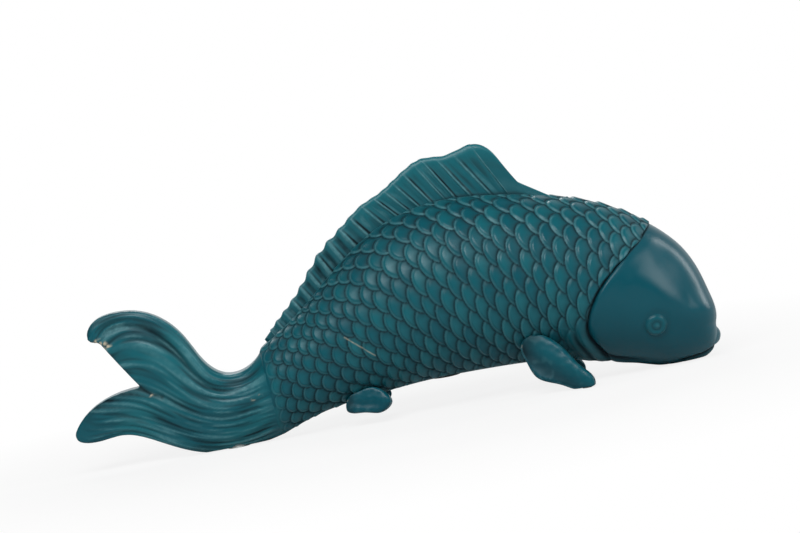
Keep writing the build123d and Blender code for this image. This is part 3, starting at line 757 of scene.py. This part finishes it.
def teal_paint():
    """Teal lacquer over cast resin: satin, with painted shade in the hollows, edges rubbed pale with painted
    highlights, chipped to cream.
    """
    material, tree, shader = new_material("teal_lacquer_on_cast_resin")
    place = add(tree, "ShaderNodeTexCoord").outputs["Object"]
    marks = {key: add(tree, "ShaderNodeAttribute", attribute_name=key).outputs["Fac"]
             for key in ("painted_shade", "wear_and_highlight", "tone", "chip")}
    cloud = add(tree, "ShaderNodeTexNoise", {"Vector": place, "Scale": 1 / LACQUER_CLOUD, "Detail": 3.0})
    grain = add(tree, "ShaderNodeTexNoise", {"Vector": place, "Scale": 1 / LACQUER_GRIT, "Detail": 4.0})
    base = add(tree, "ShaderNodeMix", {0: cloud.outputs["Fac"], 6: linear("#004250"), 7: linear("#034c5a")},
               data_type="RGBA")
    lifted = add(tree, "ShaderNodeMix", {0: marks["tone"], 6: base.outputs[2], 7: linear("#1b6b74")},
                 data_type="RGBA")
    # painted shade: near-black teal mixed in by the shade mark
    with_painted_shade = add(tree, "ShaderNodeMix", {0: marks["painted_shade"], 6: lifted.outputs[2], 7: linear("#00141c")},
                 data_type="RGBA")
    # pale teal mixed in where edges are rubbed, and as painted highlight on crests, rims and pupils
    rubbed_and_highlit = add(tree, "ShaderNodeMath", {0: marks["wear_and_highlight"], 1: grain.outputs["Fac"]}, operation="MULTIPLY")
    with_wear_and_highlight = add(tree, "ShaderNodeMix", {0: rubbed_and_highlit.outputs[0], 6: with_painted_shade.outputs[2], 7: linear("#5b8f96")},
               data_type="RGBA")
    chipped = add(tree, "ShaderNodeMix", {0: marks["chip"], 6: with_wear_and_highlight.outputs[2], 7: linear("#c6b99f")},
                  data_type="RGBA")
    satin = add(tree, "ShaderNodeMapRange", {"Value": cloud.outputs["Fac"], 3: 0.25, 4: 0.36})
    gloss = add(tree, "ShaderNodeMix", {0: marks["painted_shade"], 2: satin.outputs[0], 3: 0.9}, data_type="FLOAT")
    bump = add(tree, "ShaderNodeBump",
               {"Height": grain.outputs["Fac"], "Strength": 0.10, "Distance": 0.3 * MM})
    tree.links.new(chipped.outputs[2], shader.inputs["Base Color"])
    tree.links.new(gloss.outputs[0], shader.inputs["Roughness"])
    tree.links.new(bump.outputs[0], shader.inputs["Normal"])
    shader.inputs["IOR"].default_value = 1.32
    return material


def plain_finish(name, code, rough, metal=0.0):
    """A plain moulded or drawn finish with a fine surface noise."""
    material, tree, shader = new_material(name)
    place = add(tree, "ShaderNodeTexCoord").outputs["Object"]
    grain = add(tree, "ShaderNodeTexNoise", {"Vector": place, "Scale": 1 / MOULD_GRIT, "Detail": 3.0})
    colour = linear(code)
    darker = tuple(c * 0.8 for c in colour[:3]) + (1.0,)
    shade = add(tree, "ShaderNodeMix", {0: grain.outputs["Fac"], 6: colour, 7: darker}, data_type="RGBA")
    bump = add(tree, "ShaderNodeBump",
               {"Height": grain.outputs["Fac"], "Strength": 0.1, "Distance": 0.3 * MM})
    tree.links.new(shade.outputs[2], shader.inputs["Base Color"])
    tree.links.new(bump.outputs[0], shader.inputs["Normal"])
    shader.inputs["Roughness"].default_value = rough
    shader.inputs["Metallic"].default_value = metal
    return material


def dress(piece, material, slot, *nodes):
    """Gives a piece its material and hides the CAD nodes it stands for; slot is not used."""
    piece.data.materials.clear()
    piece.data.materials.append(material)
    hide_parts(*nodes)


# Pieces
paint = teal_paint()
dress(tail, paint, "painted_resin", "tail_casting")
for side, sign in (("right", -1), ("left", 1)):
    trunk = sheet(f"trunk_{side}_skin", *TRUNK_GRID, trunk_place(sign))
    dress(trunk, paint, "painted_resin", "trunk_shell")
head = sheet("head_skin", *HEAD_GRID, head_place)
dress(head, paint, "painted_resin", "head_shell")
back_fin = sheet("dorsal_fin_skin", *BACK_FIN_GRID, fin_place)
dress(back_fin, paint, "painted_resin", "dorsal_fin")
for side, sign in (("right", -1), ("left", 1)):
    for fin, (root, tip, voxel, depth) in LEAVES.items():
        leaf_bm = cast_copy(f"{fin}_{side}_skin", f"{fin}_{side}", voxel)
        carve_leaf(leaf_bm, root, tip, depth, sign)
        dress(finish_piece(f"{fin}_{side}_skin", leaf_bm), paint, "painted_resin", f"{fin}_{side}")

# Eye profile: distance from the middle and height in millimetres, from the pupil over the ring to the cheek
EYE_PROFILE = [
    (0.0, 1.25), (0.6, 1.2), (1.2, 0.95), (1.8, 0.55), (2.3, 0.42), (2.9, 0.6),
    (3.6, 0.78), (4.3, 0.68), (4.9, 0.3), (5.5, -0.3), (6.1, -1.4),
]


def make_eye(side, sign):
    """A raised ring with a small domed pupil, spun about its own axis and set on the head."""
    bm = bmesh.new()
    verts = [bm.verts.new((r * MM, 0, h * MM)) for r, h in EYE_PROFILE]
    edges = [bm.edges.new(pair) for pair in zip(verts, verts[1:])]
    bmesh.ops.spin(bm, geom=verts + edges, axis=(0, 0, 1), cent=(0, 0, 0), steps=48, angle=2 * math.pi,
                   use_merge=True)
    bmesh.ops.remove_doubles(bm, verts=bm.verts[:], dist=0.01 * MM)
    radius = np.array([v.co.xy.length for v in bm.verts])
    # painted shade in the ring's groove and at its outer foot, and a painted highlight on the pupil
    carve(bm, np.zeros_like(radius), {
        "painted_shade": 0.35 * bell(radius - 2.2 * MM, 0.6 * MM) + 0.2 * ramp(4.9 * MM, 5.6 * MM, radius),
        "wear_and_highlight": 0.35 * bell(radius, 1.0 * MM),
        "tone": np.full_like(radius, 0.3),
        "chip": np.zeros_like(radius),
    })
    # the nearest point of the cheek; a metre is added on the other cheek, which rules it out
    co = np.array([v.co for v in head.data.vertices])
    eye_x, eye_z = side_points([EYE_PLACE])[0]
    gap = np.hypot(co[:, 0] - eye_x, co[:, 2] - eye_z) + (co[:, 1] * sign < 0) * 1.0
    nearest = int(np.argmin(gap))
    out = head.data.vertices[nearest].normal
    turn = Vector((0, 0, 1)).rotation_difference(out).to_matrix().to_4x4()
    bmesh.ops.transform(bm, matrix=Matrix.Translation(co[nearest]) @ turn, verts=bm.verts[:])
    return finish_piece(f"eye_{side}_ring", bm)


for side, sign in (("right", -1), ("left", 1)):
    dress(make_eye(side, sign), paint, "eye_resin", f"eye_{side}")

# Silicone rubber: milky, half matt dots under the fish
silicone = plain_finish("clear_silicone_rubber", "#c3c8c6", 0.5)
# Bung rubber: matt black in the vent hole
rubber = plain_finish("black_bung_rubber", "#1a1a1a", 0.6)
# Drawn steel wire: bare grey metal, hidden in the fins
steel = plain_finish("drawn_steel_wire", "#9a9c9e", 0.35, 1.0)
SHOWN_AS_THEY_ARE = {
    "vent_plug": rubber,
    "chin_dot": silicone, "tail_dot": silicone, "fin_dot_right": silicone, "fin_dot_left": silicone,
    "pectoral_pin_right": steel, "pectoral_pin_left": steel,
    "pelvic_pin_right": steel, "pelvic_pin_left": steel,
}
for node, material in SHOWN_AS_THEY_ARE.items():
    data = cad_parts[node].data
    data.materials.clear()
    data.materials.append(material)


# Floor, lights and camera
# Distances from the fish's middle over which the floor's shadow fades to plain white
SHADOW_FADE = (0.16, 0.34)
WHITE_NEAR_FISH = 0.84
STUDIO_DIM = 0.09
FLOOR_HALF = 6.0


def white_card():
    """Matt white card: plain white to the camera, with the shadow kept near the fish."""
    material = bpy.data.materials.new("white_card")
    material.use_nodes = True
    tree = material.node_tree
    tree.nodes.clear()
    card = add(tree, "ShaderNodeBsdfDiffuse", {"Color": linear("#d6d6d6")})
    white = add(tree, "ShaderNodeEmission", {"Color": (1, 1, 1, 1), "Strength": 1.0})
    place = add(tree, "ShaderNodeTexCoord").outputs["Object"]
    away = add(tree, "ShaderNodeVectorMath", {0: place}, operation="LENGTH").outputs["Value"]
    share = add(tree, "ShaderNodeMapRange",
                {"Value": away, 1: SHADOW_FADE[0], 2: SHADOW_FADE[1], 3: WHITE_NEAR_FISH, 4: 1.0})
    path = add(tree, "ShaderNodeLightPath")
    seen = add(tree, "ShaderNodeMath", {0: path.outputs["Is Camera Ray"], 1: share.outputs[0]},
               operation="MULTIPLY")
    mix = add(tree, "ShaderNodeMixShader", {0: seen.outputs[0], 1: card.outputs[0], 2: white.outputs[0]})
    add(tree, "ShaderNodeOutputMaterial", {"Surface": mix.outputs[0]})
    return material


bm = bmesh.new()
bmesh.ops.create_grid(bm, x_segments=1, y_segments=1, size=FLOOR_HALF)
mesh = bpy.data.meshes.new("floor")
bm.to_mesh(mesh)
bm.free()
floor = bpy.data.objects.new("floor", mesh)
bpy.context.scene.collection.objects.link(floor)
mesh.materials.append(white_card())

scene = bpy.context.scene
scene.view_settings.view_transform = "Standard"


def studio_world():
    """A dim studio with a white backdrop behind the fish, and plain white to the camera itself."""
    world = bpy.data.worlds.new("studio")
    world.use_nodes = True
    tree = world.node_tree
    tree.nodes.clear()
    way = add(tree, "ShaderNodeTexCoord").outputs["Generated"]
    depth = add(tree, "ShaderNodeSeparateXYZ", {0: way}).outputs["Y"]
    backdrop = add(tree, "ShaderNodeMapRange", {"Value": depth, 1: 0.45, 2: 1.0})
    path = add(tree, "ShaderNodeLightPath")
    mirrored = add(tree, "ShaderNodeMath", {0: path.outputs["Is Glossy Ray"], 1: backdrop.outputs[0]},
                   operation="MULTIPLY")
    direct = add(tree, "ShaderNodeMath", {0: path.outputs["Is Camera Ray"],
                                          1: path.outputs["Is Transmission Ray"]}, operation="MAXIMUM")
    seen = add(tree, "ShaderNodeMath", {0: direct.outputs[0], 1: mirrored.outputs[0]}, operation="MAXIMUM")
    level = add(tree, "ShaderNodeMapRange", {"Value": seen.outputs[0], 3: STUDIO_DIM, 4: 1.0})
    sky = add(tree, "ShaderNodeBackground", {"Color": (1, 1, 1, 1), "Strength": level.outputs[0]})
    add(tree, "ShaderNodeOutputWorld", {"Surface": sky.outputs[0]})
    return world


scene.world = studio_world()


def soft_light(name, place, aim, size, depth, power):
    """A rectangular soft box at place, turned to aim."""
    light = bpy.data.lights.new(name, "AREA")
    light.shape = "RECTANGLE"
    light.size = size
    light.size_y = depth
    light.energy = power
    lamp = bpy.data.objects.new(name, light)
    lamp.location = place
    lamp.rotation_euler = (Vector(aim) - Vector(place)).to_track_quat("-Z", "Y").to_euler()
    scene.collection.objects.link(lamp)


# Place, point aimed at, width, height and watts of each
soft_light("top_box", (-0.18, -0.84, 0.88), (-0.03, 0, 0.06), 1.0, 0.5, 12)
soft_light("key_right", (1.10, -0.46, 0.50), (0.14, 0, 0.05), 0.5, 0.5, 4.5)
soft_light("back_box", (-0.25, 0.95, 0.80), (0.0, 0, 0.06), 0.8, 0.5, 5.0)
soft_light("right_strip", (1.02, 0.36, 0.42), (0.14, 0, 0.05), 0.16, 0.6, 3.2)

# Camera: long lens, nearly level with the flank, rolled as the photograph is
TILT = math.radians(10.96)
RISE = math.radians(4.0)
DISTANCE = 1.7
FIELD = 416 * MM  # width seen at the fish
AIM = Vector((12.6 * MM, 0, 76.3 * MM))
view = Vector((0, math.cos(RISE), -math.sin(RISE)))
upright = Vector((0, math.sin(RISE), math.cos(RISE)))
right = Vector((1, 0, 0)) * math.cos(TILT) - upright * math.sin(TILT)
up = Vector((1, 0, 0)) * math.sin(TILT) + upright * math.cos(TILT)
lens = bpy.data.cameras.new("camera")
lens.sensor_width = 36
lens.lens = lens.sensor_width * DISTANCE / FIELD
camera = bpy.data.objects.new("camera", lens)
turn = Matrix((right, up, -view)).transposed().to_4x4()
camera.matrix_world = Matrix.Translation(AIM - view * DISTANCE) @ turn
scene.collection.objects.link(camera)
scene.camera = camera
